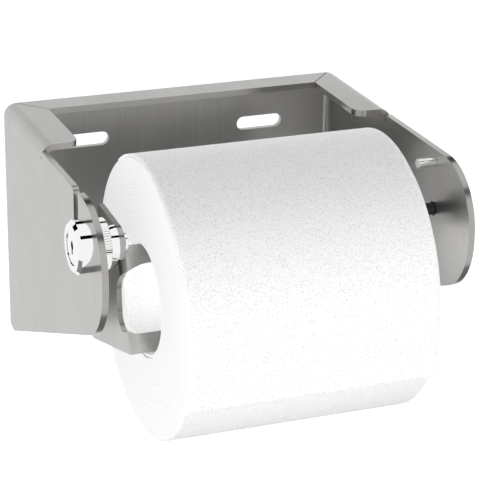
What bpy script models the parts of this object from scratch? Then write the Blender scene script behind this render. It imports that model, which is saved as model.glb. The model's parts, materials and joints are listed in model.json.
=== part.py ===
"""Lockable wall holder for one toilet roll. Metres, +Z up.

X runs along the roll, Y runs into the wall and Z runs up. The origin lies on
the wall face of the back plate, halfway across it. The holder is a bent steel
bracket, a bent carrier that passes through the roll's core, a cam lock that
shuts the slot in which the carrier's hook rests, and the roll with its
hanging sheet.
"""

import math

import bmesh
import bpy
from mathutils import Matrix, Vector

MM = 0.001

# General clearances and fineness
GAP = 0.3 * MM
OVERRUN = 6.0 * MM
MERGE = 0.01 * MM
ARC_STEPS = 12
TURN_STEPS = 48
ROLL_STEPS = 96
SHARP_ANGLE = math.radians(35)

# Bracket: one sheet bent into a back, two sides and a folded top rim
SHEET = 2.5 * MM
WIDER_THAN_ROLL = 48.5 * MM
TOP_Z = 50.0 * MM
BACK_BOTTOM_Z = -45.5 * MM
BEND_RADIUS = 5.4 * MM
BACK_FLANGE = 16.8 * MM
SIDE_FLANGE = 15.6 * MM
FLANGE_END = 60.6 * MM
FLANGE_CORNER = 5.0 * MM
RELIEF_WIDTH = 0.7 * MM
MITRE_WIDTH = 0.35 * MM
EDGE_DROP = 2.6 * MM
DEPTH = 139.5 * MM
NOSE_RADIUS = 24.5 * MM
NOSE_LOW_RADIUS = 26.0 * MM
NOSE_HEIGHT = 44.9 * MM
SLOPE_FOOT_Y = 10.0 * MM
SLOPE_FOOT_Z = -49.0 * MM
FOOT_RADIUS = 5.0 * MM
HEEL_RADIUS = 3.0 * MM

# Mounting slots in the back
SLOT_X = 39.0 * MM
SLOT_Z = 30.0 * MM
SLOT_LENGTH = 20.4 * MM
SLOT_HEIGHT = 5.9 * MM

# Axle line of the carrier, shared by the left slot and the right hole
AXLE_FROM_NOSE = 31.9 * MM
AXLE_Y = AXLE_FROM_NOSE - DEPTH
AXLE_BELOW_EDGE = 24.5 * MM
AXLE_Z = TOP_Z - EDGE_DROP - AXLE_BELOW_EDGE
AXLE_RADIUS = 2.5 * MM
HOLE_RADIUS = 3.0 * MM
LEAD_IN_RADIUS = 3.0 * MM

# Stop pin on the right side plate
STOP_BELOW_EDGE = 5.0 * MM
STOP_Z = TOP_Z - EDGE_DROP - STOP_BELOW_EDGE
STOP_RADIUS = 2.0 * MM
STOP_LENGTH = 7.4 * MM
STOP_NECK_RADIUS = 1.4 * MM
STOP_EDGE = 0.3 * MM

# Lock: fixed housing and nut
LOCK_FROM_NOSE = 16.7 * MM
LOCK_Y = LOCK_FROM_NOSE - DEPTH
LOCK_BELOW_EDGE = 16.0 * MM
LOCK_Z = TOP_Z - EDGE_DROP - LOCK_BELOW_EDGE
HEAD_RADIUS = 10.2 * MM
HEAD_LENGTH = 6.1 * MM
HEAD_CHAMFER = 1.2 * MM
BARREL_RADIUS = 6.7 * MM
BARREL_LENGTH = 7.4 * MM
NUT_RADIUS = 9.7 * MM
NUT_LENGTH = 3.5 * MM
NUT_CHAMFER = 0.4 * MM
RECESS_RADIUS = 6.6 * MM
RECESS_DEPTH = 2.4 * MM
BORE_RADIUS = 4.8 * MM

# Lock: turning plug, cam and their fastening
PLUG_SINK = 0.3 * MM
KEYWAY_WIDTH = 1.3 * MM
KEYWAY_HEIGHT = 5.0 * MM
KEYWAY_DEPTH = 12.5 * MM
KEYWAY_ROUND = 1.5 * MM
TAIL_WIDTH = 4.6 * MM
THREAD_RADIUS = 2.0 * MM
THREAD_PAST_NUT = 0.2 * MM
CAM_SHEET = 2.0 * MM
CAM_RADIUS = 6.5 * MM
CAM_RISE = 1.5 * MM
CAM_REACH = 21.5 * MM
CAM_UNDERSIDE = 3.5 * MM
CAM_TIP_RADIUS = 1.5 * MM
CAM_NUT_RADIUS = 3.2 * MM
CAM_NUT_LENGTH = 1.1 * MM
CAM_NUT_CHAMFER = 0.2 * MM
WASHER_THICKNESS = 0.5 * MM

# Lock: wafers that ride in the plug
WAFER_COUNT = 5
WAFER_THICKNESS = 0.8 * MM
WAFER_WIDTH = 4.4 * MM
WAFER_HEIGHT = 7.4 * MM
WAFER_PITCH = 1.9 * MM
WAFER_FIRST = 1.6 * MM
WAFER_CLEARANCE = 0.25 * MM
WAFER_WINDOW_WIDTH = 2.0 * MM

# Roll: cardboard core, wound paper and the sheet that hangs from it
CORE_INNER_RADIUS = 21.7 * MM
CORE_WALL = 1.0 * MM
CORE_SHORTER = 0.5 * MM
ROLL_RADIUS = 55.0 * MM
ROLL_WIDTH = 100.0 * MM
ROLL_X = 2.9 * MM
ROLL_AHEAD_OF_WEB = 4.4 * MM
PAPER_EDGE = 0.8 * MM
TAIL_THICKNESS = 0.4 * MM
TAIL_WRAP = math.radians(122)
TAIL_DROP = 23.4 * MM
TAIL_SHIFT = 1.1 * MM

# Carrier: one thinner sheet, bent back on the left and forward on the right
CARRIER_SHEET = 2.0 * MM
CARRIER_BEND = 3.6 * MM
LEG_BESIDE_ROLL = 7.9 * MM
TAB_BESIDE_ROLL = 4.6 * MM
WEB_BEHIND_AXLE = 10.0 * MM
WEB_BELOW_AXLE = 3.5 * MM
WEB_TOP_Y = AXLE_Y + WEB_BEHIND_AXLE
WEB_TOP_Z = AXLE_Z - WEB_BELOW_AXLE
ROLL_Y = WEB_TOP_Y - ROLL_AHEAD_OF_WEB
WEB_LEAN = math.radians(24.2)
WEB_HEIGHT = 41.4 * MM
PRONG_HEIGHT = 7.6 * MM
LOW_PRONG_END_X = 30.0 * MM
PRONG_RADIUS = 3.0 * MM
LEG_REACH = 60.0 * MM
LEG_HEEL_RISE = 8.9 * MM
LEG_TOP_REACH = 48.0 * MM
LEG_CORNER = 7.0 * MM
WINDOW_BROW_RUN = 4.6 * MM
WINDOW_BROW_RADIUS = 12.0 * MM
WINDOW_SHOULDER_REACH = 9.2 * MM
WINDOW_SHOULDER_DROP = 6.2 * MM
WINDOW_SHOULDER_RADIUS = 7.0 * MM
WINDOW_LOW_REACH = 15.2 * MM
WINDOW_LOW_RISE = 2.6 * MM
WINDOW_LOW_RADIUS = 6.0 * MM
TAB_LOBE_RADIUS = 6.0 * MM
BEND_CUTS = 6

# Hook on the leg, flat-sided so that it can't turn in the slot
HOOK_OUTSIDE = 2.75 * MM
HOOK_HEIGHT = 7.0 * MM
HOOK_DEPTH = 5.0 * MM
HOOK_RUN = 22.0 * MM
HOOK_DIP = math.radians(36)
HOOK_EDGE = 0.8 * MM

# Pivot pin on the tab
PIVOT_HEAD_RADIUS = 4.0 * MM
PIVOT_HEAD = 1.6 * MM

# Places worked out from the sizes above
WIDTH = ROLL_WIDTH + WIDER_THAN_ROLL
SIDE_X = WIDTH / 2
INNER_X = SIDE_X - SHEET
EDGE_Z = TOP_Z - EDGE_DROP
ROLL_LEFT = ROLL_X - ROLL_WIDTH / 2
ROLL_RIGHT = ROLL_X + ROLL_WIDTH / 2
LEG_X = ROLL_LEFT - LEG_BESIDE_ROLL
TAB_X = ROLL_RIGHT + TAB_BESIDE_ROLL
UP_WEB = Vector((0, math.sin(WEB_LEAN), math.cos(WEB_LEAN)))
BACK_WEB = Vector((0, math.cos(WEB_LEAN), -math.sin(WEB_LEAN)))
WEB_TOP = Vector((0, WEB_TOP_Y, WEB_TOP_Z))
CORE_REACH = CORE_INNER_RADIUS - GAP
ROLL_Z = WEB_TOP_Z - math.sqrt(CORE_REACH ** 2 - (WEB_TOP_Y - ROLL_Y) ** 2)

PARTS = None
CUTTERS = None


def clear_scene():
    """Remove every object that the file opened with."""
    for item in list(bpy.data.objects):
        bpy.data.objects.remove(item, do_unlink=True)


def make_collection(name):
    """Add a collection to the scene."""
    collection = bpy.data.collections.new(name)
    bpy.context.scene.collection.children.link(collection)
    return collection


def make_material(name, colour, metallic, roughness):
    """Make a Principled material from a linear colour."""
    material = bpy.data.materials.new(name)
    material.use_nodes = True
    shader = material.node_tree.nodes["Principled BSDF"]
    shader.inputs["Base Color"].default_value = (*colour, 1)
    shader.inputs["Metallic"].default_value = metallic
    shader.inputs["Roughness"].default_value = roughness
    return material


def add_object(name, mesh, collection):
    """Put a mesh in a collection as an object of its own."""
    item = bpy.data.objects.new(name, mesh)
    collection.objects.link(item)
    return item


def as_cutter(item):
    """Hide a guide from renders and draw it as wire."""
    item.hide_render = True
    item.display_type = "WIRE"
    return item


def shade(item, material):
    """Give an object its material and smooth shading with sharp edges."""
    item.data.materials.clear()
    item.data.materials.append(material)
    item.data.shade_smooth()
    item.data.set_sharp_from_angle(angle=SHARP_ANGLE)


def boolean(item, cutter, operation="DIFFERENCE"):
    """Cut an object with another, or join or intersect them."""
    modifier = item.modifiers.new(cutter.name, "BOOLEAN")
    modifier.operation = operation
    modifier.solver = "EXACT"
    modifier.object = cutter


def place(axis, distance):
    """Return the matrix that turns a flat XY outline to face along an axis."""
    if axis == "X":
        return Matrix(((0, 0, 1, distance), (1, 0, 0, 0), (0, 1, 0, 0), (0, 0, 0, 1)))
    if axis == "Y":
        return Matrix(((0, 1, 0, 0), (0, 0, 1, distance), (1, 0, 0, 0), (0, 0, 0, 1)))
    return Matrix.Translation((0, 0, distance))


def rounded(corners):
    """Turn (x, y, radius) corners into outline points with arcs."""
    points = []
    count = len(corners)
    for index, (x, y, radius) in enumerate(corners):
        corner = Vector((x, y))
        if not radius:
            points.append(corner)
            continue
        before = Vector(corners[index - 1][:2])
        after = Vector(corners[(index + 1) % count][:2])
        to_before = (before - corner).normalized()
        to_after = (after - corner).normalized()
        half = to_before.angle(to_after) / 2
        middle = corner + (to_before + to_after).normalized() * radius / math.sin(half)
        start = corner + to_before * radius / math.tan(half) - middle
        turn = start.angle_signed(corner + to_after * radius / math.tan(half) - middle)
        steps = max(2, math.ceil(ARC_STEPS * abs(turn) / (math.pi / 2)))
        for step in range(steps + 1):
            share = step / steps
            points.append(middle + Matrix.Rotation(-turn * share, 2) @ start)
    return points


def circle(x, y, radius, steps=TURN_STEPS):
    """Return the points of a circle."""
    turn = 2 * math.pi / steps
    return [
        Vector((x + radius * math.cos(turn * step), y + radius * math.sin(turn * step)))
        for step in range(steps)
    ]


def flat_mesh(name, outlines, thickness):
    """Fill outlines, the first one solid and the others holes, and thicken them."""
    curve = bpy.data.curves.new(name, "CURVE")
    curve.dimensions = "2D"
    curve.fill_mode = "BOTH"
    curve.extrude = thickness / 2
    for outline in outlines:
        spline = curve.splines.new("POLY")
        spline.points.add(len(outline) - 1)
        for point, place_xy in zip(spline.points, outline):
            point.co = (place_xy[0], place_xy[1], 0, 1)
        spline.use_cyclic_u = True
    holder = add_object(name, curve, CUTTERS)
    bpy.context.view_layer.update()
    evaluated = holder.evaluated_get(bpy.context.evaluated_depsgraph_get())
    mesh = bpy.data.meshes.new_from_object(evaluated)
    bpy.data.objects.remove(holder, do_unlink=True)
    welded = bmesh.new()
    welded.from_mesh(mesh)
    bmesh.ops.remove_doubles(welded, verts=welded.verts, dist=MERGE)
    bmesh.ops.recalc_face_normals(welded, faces=welded.faces)
    welded.to_mesh(mesh)
    welded.free()
    return mesh


def plate(name, outlines, axis, low, high, collection=None):
    """Extrude outlines along an axis between two places."""
    mesh = flat_mesh(name, outlines, high - low)
    mesh.transform(place(axis, (low + high) / 2))
    mesh.update()
    return add_object(name, mesh, collection or PARTS)


def box_mesh(name, low, high, edges=None, radius=0):
    """Make a box between two corners, with some of its edges rounded."""
    cube = bmesh.new()
    bmesh.ops.create_cube(cube, size=1)
    for vert in cube.verts:
        vert.co = [high[axis] if vert.co[axis] > 0 else low[axis] for axis in range(3)]
    if edges:
        chosen = [edge for edge in cube.edges if edges(edge)]
        bmesh.ops.bevel(
            cube, geom=chosen, offset=radius, offset_type="OFFSET",
            segments=ARC_STEPS, profile=0.5, affect="EDGES",
        )
    mesh = bpy.data.meshes.new(name)
    cube.to_mesh(mesh)
    cube.free()
    return mesh


def box_cutter(name, low, high):
    """Make a plain box cutter."""
    return as_cutter(add_object(name, box_mesh(name, low, high), CUTTERS))


def turned(name, profile, y, z, collection=None, steps=TURN_STEPS):
    """Turn (x, radius) points about a line along X. The outer side runs from high X to low X."""
    closed = all(radius > 0 for _, radius in profile)
    shape = bmesh.new()
    ring = [shape.verts.new((radius, 0, x)) for x, radius in profile]
    for first, second in zip(ring, ring[1:]):
        shape.edges.new((first, second))
    if closed:
        shape.edges.new((ring[-1], ring[0]))
    mesh = bpy.data.meshes.new(name)
    shape.to_mesh(mesh)
    shape.free()
    item = add_object(name, mesh, collection or PARTS)
    item.matrix_world = Matrix.Translation((0, y, z)) @ place("X", 0)
    screw = item.modifiers.new("turn", "SCREW")
    screw.steps = steps
    screw.render_steps = steps
    screw.use_merge_vertices = True
    screw.merge_threshold = MERGE
    return item


def near_rear_or_top(depth, top):
    """Choose the two rear upright edges and the three edges round the top."""
    def choose(edge):
        rear = all(abs(vert.co.y - depth) < MERGE for vert in edge.verts)
        high = all(abs(vert.co.z - top) < MERGE for vert in edge.verts)
        upright = abs(edge.verts[0].co.z - edge.verts[1].co.z) > MERGE
        along_y = abs(edge.verts[0].co.y - edge.verts[1].co.y) > MERGE
        return (rear and upright) or (rear and high) or (high and along_y)
    return choose


def side_outline():
    """Return the bracket's outline seen from the side, as (y, z)."""
    nose_y = -DEPTH
    low_nose_z = EDGE_Z - NOSE_HEIGHT
    relief_z = TOP_Z - BEND_RADIUS
    return rounded([
        (OVERRUN, TOP_Z + OVERRUN, 0),
        (-FLANGE_END, TOP_Z + OVERRUN, 0),
        (-FLANGE_END, relief_z, 0),
        (-FLANGE_END - RELIEF_WIDTH, relief_z, 0),
        (-FLANGE_END - RELIEF_WIDTH, EDGE_Z, 0),
        (nose_y, EDGE_Z, NOSE_RADIUS),
        (nose_y, low_nose_z, NOSE_LOW_RADIUS),
        (-SLOPE_FOOT_Y, SLOPE_FOOT_Z, FOOT_RADIUS),
        (0, BACK_BOTTOM_Z, HEEL_RADIUS),
        (OVERRUN, BACK_BOTTOM_Z, 0),
    ])


def stadium(x, y, length, height):
    """Return a slot with round ends, longer along x."""
    half = length / 2
    return rounded([
        (x - half, y - height / 2, height / 2 - MERGE),
        (x + half, y - height / 2, height / 2 - MERGE),
        (x + half, y + height / 2, height / 2 - MERGE),
        (x - half, y + height / 2, height / 2 - MERGE),
    ])


def rim_window():
    """Return the opening inside the folded rim, seen from above."""
    inner = SIDE_X - SIDE_FLANGE
    front = -FLANGE_END
    ahead = front - OVERRUN
    right = rounded([
        (inner, -BACK_FLANGE, 0),
        (inner, ahead, 0),
        (-inner, ahead, 0),
        (-inner, -BACK_FLANGE, 0),
    ])
    corner = inner + FLANGE_CORNER
    arc_middle = front + FLANGE_CORNER
    quarter = [math.pi / 2 * step / ARC_STEPS for step in range(ARC_STEPS + 1)]
    arc = [
        Vector((corner - FLANGE_CORNER * math.cos(turn), arc_middle - FLANGE_CORNER * math.sin(turn)))
        for turn in quarter
    ]
    left_arc = [Vector((-point.x, point.y)) for point in reversed(arc)]
    ends = [Vector((corner, ahead)), Vector((-corner, ahead))]
    return [right[0], *arc, *ends, *left_arc, right[3]]


def axle_slot():
    """Return the open slot of the left side plate, as (y, z)."""
    half = AXLE_RADIUS + GAP
    above = EDGE_Z + OVERRUN
    flare = AXLE_Y + half + LEAD_IN_RADIUS
    lead_in = [
        Vector((
            flare - LEAD_IN_RADIUS * math.cos(math.pi / 2 * step / ARC_STEPS),
            EDGE_Z - LEAD_IN_RADIUS + LEAD_IN_RADIUS * math.sin(math.pi / 2 * step / ARC_STEPS),
        ))
        for step in range(ARC_STEPS + 1)
    ]
    bottom = [
        Vector((
            AXLE_Y - half * math.cos(math.pi * step / TURN_STEPS * 2),
            AXLE_Z - half * math.sin(math.pi * step / TURN_STEPS * 2),
        ))
        for step in range(TURN_STEPS // 2 + 1)
    ]
    return [Vector((AXLE_Y - half, above)), *bottom, *lead_in, Vector((flare, above))]


def mitre_cutter(side):
    """Cut the fine joint between the back rim and a side rim."""
    start = Vector((side * (SIDE_X - SIDE_FLANGE), -BACK_FLANGE))
    end = Vector((side * (SIDE_X - BEND_RADIUS), -BEND_RADIUS))
    along = (end - start).normalized()
    across = Vector((-along.y, along.x)) * MITRE_WIDTH / 2
    back = start - along * OVERRUN
    name = "mitre_left" if side < 0 else "mitre_right"
    low = TOP_Z - SHEET - GAP
    outline = [back - across, end - across, end + across, back + across]
    return as_cutter(plate(name, [outline], "Z", low, TOP_Z + OVERRUN, CUTTERS))


def build_bracket(material):
    """Bend the main sheet: back, sides and rim, with all its holes."""
    low_z = SLOPE_FOOT_Z - OVERRUN
    outer = box_mesh(
        "bracket", (-SIDE_X, -FLANGE_END, low_z), (SIDE_X, 0, TOP_Z),
        near_rear_or_top(0, TOP_Z), BEND_RADIUS,
    )
    bracket = add_object("bracket", outer, PARTS)
    inner_mesh = box_mesh(
        "bracket_inside", (-INNER_X, -FLANGE_END - OVERRUN, low_z - OVERRUN),
        (INNER_X, -SHEET, TOP_Z - SHEET), near_rear_or_top(-SHEET, TOP_Z - SHEET),
        BEND_RADIUS - SHEET,
    )
    boolean(bracket, as_cutter(add_object("bracket_inside", inner_mesh, CUTTERS)))
    for side, name in ((-1, "cheek_left"), (1, "cheek_right")):
        ends = sorted((side * SIDE_X, side * INNER_X))
        cheek = box_cutter(
            name, (ends[0], -DEPTH - OVERRUN, low_z), (ends[1], -FLANGE_END, TOP_Z - BEND_RADIUS),
        )
        boolean(bracket, cheek, "UNION")
        crest = box_cutter(
            name + "_crest", (ends[0], -DEPTH - OVERRUN, TOP_Z - BEND_RADIUS),
            (ends[1], -FLANGE_END - RELIEF_WIDTH, EDGE_Z + OVERRUN),
        )
        boolean(bracket, crest, "UNION")
    reach = SIDE_X + OVERRUN
    envelope = plate("side_envelope", [side_outline()], "X", -reach, reach, CUTTERS)
    boolean(bracket, as_cutter(envelope), "INTERSECT")
    window = plate(
        "rim_window", [rim_window()], "Z", TOP_Z - SHEET - GAP, TOP_Z + OVERRUN, CUTTERS,
    )
    cutters = [as_cutter(window), mitre_cutter(-1), mitre_cutter(1)]
    for side in (-1, 1):
        name = "mounting_slot_left" if side < 0 else "mounting_slot_right"
        slot = stadium(side * SLOT_X, SLOT_Z, SLOT_LENGTH, SLOT_HEIGHT)
        flipped = [Vector((point.y, point.x)) for point in slot]
        cutters.append(as_cutter(plate(name, [flipped], "Y", -SHEET - OVERRUN, OVERRUN, CUTTERS)))
    left = (-SIDE_X - OVERRUN, -INNER_X + OVERRUN)
    right = (INNER_X - OVERRUN, SIDE_X + OVERRUN)
    cutters.append(as_cutter(plate("axle_slot", [axle_slot()], "X", *left, CUTTERS)))
    lock_hole = circle(LOCK_Y, LOCK_Z, BARREL_RADIUS + GAP)
    cutters.append(as_cutter(plate("lock_hole", [lock_hole], "X", *left, CUTTERS)))
    axle_hole = circle(AXLE_Y, AXLE_Z, HOLE_RADIUS)
    cutters.append(as_cutter(plate("axle_hole", [axle_hole], "X", *right, CUTTERS)))
    rivet_hole = circle(AXLE_Y, STOP_Z, STOP_NECK_RADIUS + GAP, TURN_STEPS // 2)
    cutters.append(as_cutter(plate("rivet_hole", [rivet_hole], "X", *right, CUTTERS)))
    for cutter in cutters:
        boolean(bracket, cutter)
    shade(bracket, material)


def build_stop_pin(material):
    """Turn the short pin that is riveted into the right side plate."""
    seat = INNER_X - GAP
    free = seat - STOP_LENGTH
    pin = turned("stop_pin", [
        (SIDE_X, 0),
        (SIDE_X, STOP_NECK_RADIUS),
        (seat, STOP_NECK_RADIUS),
        (seat, STOP_RADIUS),
        (free + STOP_EDGE, STOP_RADIUS),
        (free, STOP_RADIUS - STOP_EDGE),
        (free, 0),
    ], AXLE_Y, STOP_Z, steps=TURN_STEPS // 2)
    shade(pin, material)


def build_lock_body(material):
    """Turn the lock's housing and the round nut behind the plate."""
    seat = -SIDE_X - GAP
    face = seat - HEAD_LENGTH
    back = -INNER_X + BARREL_LENGTH
    housing = turned("lock_housing", [
        (back, BORE_RADIUS),
        (back, BARREL_RADIUS),
        (seat, BARREL_RADIUS),
        (seat, HEAD_RADIUS),
        (face + HEAD_CHAMFER, HEAD_RADIUS),
        (face, HEAD_RADIUS - HEAD_CHAMFER),
        (face, RECESS_RADIUS),
        (face + RECESS_DEPTH, RECESS_RADIUS),
        (face + RECESS_DEPTH, BORE_RADIUS),
    ], LOCK_Y, LOCK_Z)
    shade(housing, material)
    near = -INNER_X + GAP
    far = near + NUT_LENGTH
    bore = BARREL_RADIUS + GAP
    nut = turned("lock_nut", [
        (far, bore),
        (far, NUT_RADIUS - NUT_CHAMFER),
        (far - NUT_CHAMFER, NUT_RADIUS),
        (near + NUT_CHAMFER, NUT_RADIUS),
        (near, NUT_RADIUS - NUT_CHAMFER),
        (near, bore),
    ], LOCK_Y, LOCK_Z)
    shade(nut, material)
    return face, back


def build_plug(face, back, material, wafer_material):
    """Make the turning plug with its keyway, and the wafers in it."""
    front = face + PLUG_SINK
    shoulder = face + RECESS_DEPTH - GAP
    shaft = BORE_RADIUS - GAP
    cam_near = back + GAP
    cam_far = cam_near + CAM_SHEET
    washer_far = cam_far + GAP + WASHER_THICKNESS
    nut_far = washer_far + GAP + CAM_NUT_LENGTH
    thread_end = nut_far + THREAD_PAST_NUT
    plug = turned("lock_plug", [
        (thread_end, 0),
        (thread_end, THREAD_RADIUS),
        (back, THREAD_RADIUS),
        (back, shaft),
        (shoulder, shaft),
        (shoulder, RECESS_RADIUS - GAP),
        (front, RECESS_RADIUS - GAP),
        (front, 0),
    ], LOCK_Y, LOCK_Z)
    half = TAIL_WIDTH / 2
    square = box_cutter(
        "plug_tail", (back - OVERRUN, LOCK_Y - half, LOCK_Z - half), (cam_far, LOCK_Y + half, LOCK_Z + half),
    )
    boolean(plug, square, "UNION")
    keyway = box_cutter(
        "keyway", (front - OVERRUN, LOCK_Y - KEYWAY_WIDTH / 2, LOCK_Z - KEYWAY_HEIGHT / 2),
        (front + KEYWAY_DEPTH, LOCK_Y + KEYWAY_WIDTH / 2, LOCK_Z + KEYWAY_HEIGHT / 2),
    )
    boolean(plug, keyway)
    eye = circle(LOCK_Y, LOCK_Z + KEYWAY_ROUND / 2, KEYWAY_ROUND, TURN_STEPS // 2)
    boolean(plug, as_cutter(plate(
        "keyway_eye", [eye], "X", front - OVERRUN, front + RECESS_DEPTH / 2, CUTTERS,
    )))
    slot_y = WAFER_WIDTH / 2 + WAFER_CLEARANCE
    slot_z = shaft + OVERRUN / 2
    for index in range(WAFER_COUNT):
        near = shoulder + WAFER_FIRST + WAFER_PITCH * index
        far = near + WAFER_THICKNESS
        number = index + 1
        boolean(plug, box_cutter(
            f"wafer_slot_{number}", (near - WAFER_CLEARANCE, LOCK_Y - slot_y, LOCK_Z - slot_z),
            (far + WAFER_CLEARANCE, LOCK_Y + slot_y, LOCK_Z + slot_z),
        ))
        outline = rounded([
            (LOCK_Y - WAFER_WIDTH / 2, LOCK_Z - WAFER_HEIGHT / 2, WAFER_CLEARANCE),
            (LOCK_Y + WAFER_WIDTH / 2, LOCK_Z - WAFER_HEIGHT / 2, WAFER_CLEARANCE),
            (LOCK_Y + WAFER_WIDTH / 2, LOCK_Z + WAFER_HEIGHT / 2, WAFER_CLEARANCE),
            (LOCK_Y - WAFER_WIDTH / 2, LOCK_Z + WAFER_HEIGHT / 2, WAFER_CLEARANCE),
        ])
        window = [
            Vector((LOCK_Y - WAFER_WINDOW_WIDTH / 2, LOCK_Z - KEYWAY_HEIGHT / 2)),
            Vector((LOCK_Y + WAFER_WINDOW_WIDTH / 2, LOCK_Z - KEYWAY_HEIGHT / 2)),
            Vector((LOCK_Y + WAFER_WINDOW_WIDTH / 2, LOCK_Z + KEYWAY_HEIGHT / 2)),
            Vector((LOCK_Y - WAFER_WINDOW_WIDTH / 2, LOCK_Z + KEYWAY_HEIGHT / 2)),
        ]
        shade(plate(f"wafer_{number}", [outline, window], "X", near, far), wafer_material)
    shade(plug, material)
    return cam_near, cam_far, washer_far, nut_far


def cam_outline():
    """Return the cam: a round end on the lock's axis and a bar that rises towards the wall."""
    top = LOCK_Z + CAM_RADIUS
    under = LOCK_Z - CAM_UNDERSIDE
    tip = LOCK_Y + CAM_REACH
    start = math.pi / 2
    sweep = 3 * math.pi / 2 - math.asin(CAM_UNDERSIDE / CAM_RADIUS)
    steps = ARC_STEPS * 4
    nose = [
        Vector((
            LOCK_Y + CAM_RADIUS * math.cos(start + sweep * step / steps),
            LOCK_Z + CAM_RADIUS * math.sin(start + sweep * step / steps),
        ))
        for step in range(steps + 1)
    ]
    bar = rounded([
        (nose[-1].x, under, 0), (tip, under, CAM_TIP_RADIUS), (tip, top + CAM_RISE, CAM_TIP_RADIUS),
        (LOCK_Y, top, 0),
    ])
    return nose + bar[1:-1]


def build_cam(places, material, nut_material):
    """Cut the cam and set its washer and nut behind it."""
    cam_near, cam_far, washer_far, nut_far = places
    half = TAIL_WIDTH / 2 + GAP
    square = [
        Vector((LOCK_Y - half, LOCK_Z - half)),
        Vector((LOCK_Y + half, LOCK_Z - half)),
        Vector((LOCK_Y + half, LOCK_Z + half)),
        Vector((LOCK_Y - half, LOCK_Z + half)),
    ]
    shade(plate("lock_cam", [cam_outline(), square], "X", cam_near, cam_far), material)
    bore = circle(LOCK_Y, LOCK_Z, THREAD_RADIUS + GAP, TURN_STEPS // 2)
    washer = plate(
        "cam_washer", [circle(LOCK_Y, LOCK_Z, CAM_NUT_RADIUS), bore], "X", cam_far + GAP, washer_far,
    )
    shade(washer, nut_material)
    near = washer_far + GAP
    nut = turned("cam_nut", [
        (nut_far, THREAD_RADIUS + GAP),
        (nut_far, CAM_NUT_RADIUS - CAM_NUT_CHAMFER),
        (nut_far - CAM_NUT_CHAMFER, CAM_NUT_RADIUS),
        (near, CAM_NUT_RADIUS),
        (near, THREAD_RADIUS + GAP),
    ], LOCK_Y, LOCK_Z, steps=TURN_STEPS // 2)
    shade(nut, nut_material)


def build_roll(core_material, paper_material):
    """Turn the core and the wound paper, and hang the free sheet."""
    core_outer = CORE_INNER_RADIUS + CORE_WALL
    core = turned("core_tube", [
        (ROLL_RIGHT - CORE_SHORTER, CORE_INNER_RADIUS),
        (ROLL_RIGHT - CORE_SHORTER, core_outer),
        (ROLL_LEFT + CORE_SHORTER, core_outer),
        (ROLL_LEFT + CORE_SHORTER, CORE_INNER_RADIUS),
    ], ROLL_Y, ROLL_Z, steps=ROLL_STEPS)
    shade(core, core_material)
    bore = core_outer + GAP
    paper = turned("paper_roll", [
        (ROLL_RIGHT, bore),
        (ROLL_RIGHT, ROLL_RADIUS - PAPER_EDGE),
        (ROLL_RIGHT - PAPER_EDGE, ROLL_RADIUS),
        (ROLL_LEFT + PAPER_EDGE, ROLL_RADIUS),
        (ROLL_LEFT, ROLL_RADIUS - PAPER_EDGE),
        (ROLL_LEFT, bore),
    ], ROLL_Y, ROLL_Z, steps=ROLL_STEPS)
    shade(paper, paper_material)
    inner = ROLL_RADIUS + GAP
    outer = inner + TAIL_THICKNESS
    steps = ARC_STEPS * 4
    turns = [math.pi - TAIL_WRAP * step / steps for step in range(steps + 1)]
    under = [
        Vector((ROLL_Y + inner * math.cos(turn), ROLL_Z + inner * math.sin(turn))) for turn in turns
    ]
    over = [
        Vector((ROLL_Y + outer * math.cos(turn), ROLL_Z + outer * math.sin(turn))) for turn in turns
    ]
    hem_z = ROLL_Z - TAIL_DROP
    hem = [Vector((ROLL_Y - outer, hem_z)), Vector((ROLL_Y - inner, hem_z))]
    outline = list(reversed(over)) + hem + under
    tail = plate("paper_tail", [outline], "X", ROLL_LEFT - TAIL_SHIFT, ROLL_RIGHT - TAIL_SHIFT)
    shade(tail, paper_material)


def bend_carrier(mesh):
    """Fold the flat sheet: back at the leg and forward at the tab.

    In the flat sheet x is the length along the outer face, counted from the
    leg's bend, y is the height below the web's top edge, and z is the depth
    below the outer face, plus half the sheet.
    """
    inside = CARRIER_BEND - CARRIER_SHEET
    arc = CARRIER_BEND * math.pi / 2
    tab_start = leg_arc() + (TAB_X - inside) - (LEG_X + CARRIER_BEND)
    tab_arc = inside * math.pi / 2
    for vert in mesh.vertices:
        flat, height, depth = vert.co.x, vert.co.y, CARRIER_SHEET / 2 - vert.co.z
        if flat <= 0:
            x = LEG_X + depth
            behind = CARRIER_BEND - flat
        elif flat < arc:
            turn = flat / CARRIER_BEND
            x = LEG_X + CARRIER_BEND - (CARRIER_BEND - depth) * math.cos(turn)
            behind = CARRIER_BEND - (CARRIER_BEND - depth) * math.sin(turn)
        elif flat <= tab_start:
            x = LEG_X + CARRIER_BEND + flat - arc
            behind = depth
        elif flat < tab_start + tab_arc:
            turn = (flat - tab_start) / inside
            x = TAB_X - inside + (inside + depth) * math.sin(turn)
            behind = (inside + depth) * math.cos(turn) - inside
        else:
            x = TAB_X + depth
            behind = -inside - (flat - tab_start - tab_arc)
        vert.co = Vector((x, 0, 0)) + WEB_TOP + UP_WEB * height + BACK_WEB * behind
    return mesh


def leg_arc():
    """Return the length of the leg's bend along the outer face."""
    return CARRIER_BEND * math.pi / 2


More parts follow.
